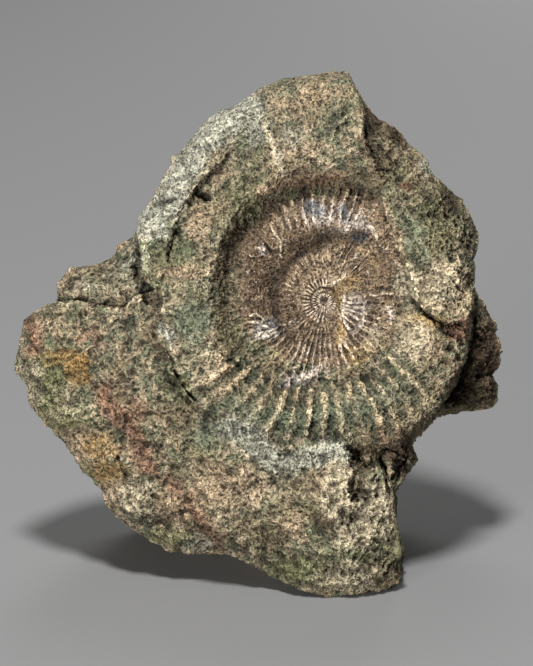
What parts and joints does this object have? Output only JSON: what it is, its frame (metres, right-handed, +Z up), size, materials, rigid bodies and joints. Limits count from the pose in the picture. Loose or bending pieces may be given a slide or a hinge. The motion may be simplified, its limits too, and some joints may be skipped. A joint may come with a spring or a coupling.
{
  "type": "ammonite fossil",
  "caption": "Block of green-grey sandstone with a coiled, ribbed ammonite shell set in its leaning face, standing on a flat broken base for display.",
  "frame": {"origin": "middle of the block's box, on the floor that the flat base rests on", "axes": "+Z up, -Y towards the viewer of the fossil face, +X to that viewer's right"},
  "size_m": [0.245, 0.1146, 0.2516],
  "materials": {
    "stone": "rough granular sandstone with worn brown and faintly pearly shell"
  },
  "bodies": {
    "root": {"ammonite_fossil": "stone"}
  },
  "joints": []
}
